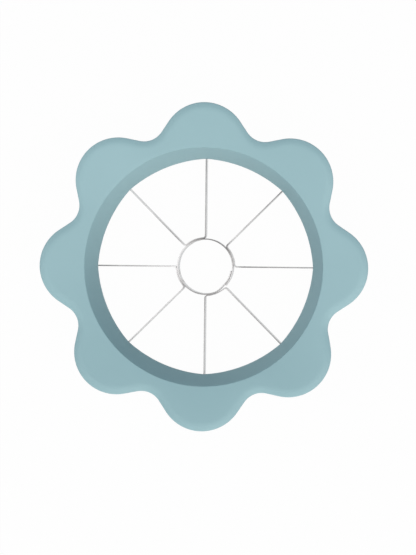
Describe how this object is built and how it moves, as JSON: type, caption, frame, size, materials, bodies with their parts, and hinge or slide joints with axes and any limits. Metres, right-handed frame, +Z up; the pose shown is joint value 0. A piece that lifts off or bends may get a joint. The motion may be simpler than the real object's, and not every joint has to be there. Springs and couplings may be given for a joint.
{
  "type": "apple slicer",
  "caption": "Flower-shaped apple slicer pressed down by hand: a round funnel opening with radial steel blades and a central core ring.",
  "frame": {"origin": "centre of the base, on the surface that the part stands on", "axes": "+Z up out of the hand face, +X through a petal tip and the blade behind it, +Y through another petal tip"},
  "size_m": [0.143, 0.143, 0.03],
  "materials": {
    "body_plastic": "fine matte mould texture, muted blue-green",
    "cover_plastic": "matte, the same muted blue-green",
    "blade_steel": "fine lengthwise brushing with ground cutting edges",
    "screw_steel": "plain zinc-bright screws"
  },
  "bodies": {
    "root": {"top_shell": "body_plastic", "base_cover": "cover_plastic", "core_ring": "blade_steel", "blade_pair_1": "blade_steel", "blade_pair_2": "blade_steel", "blade_pair_3": "blade_steel", "blade_pair_4": "blade_steel", "cover_screws": "screw_steel"}
  },
  "joints": []
}
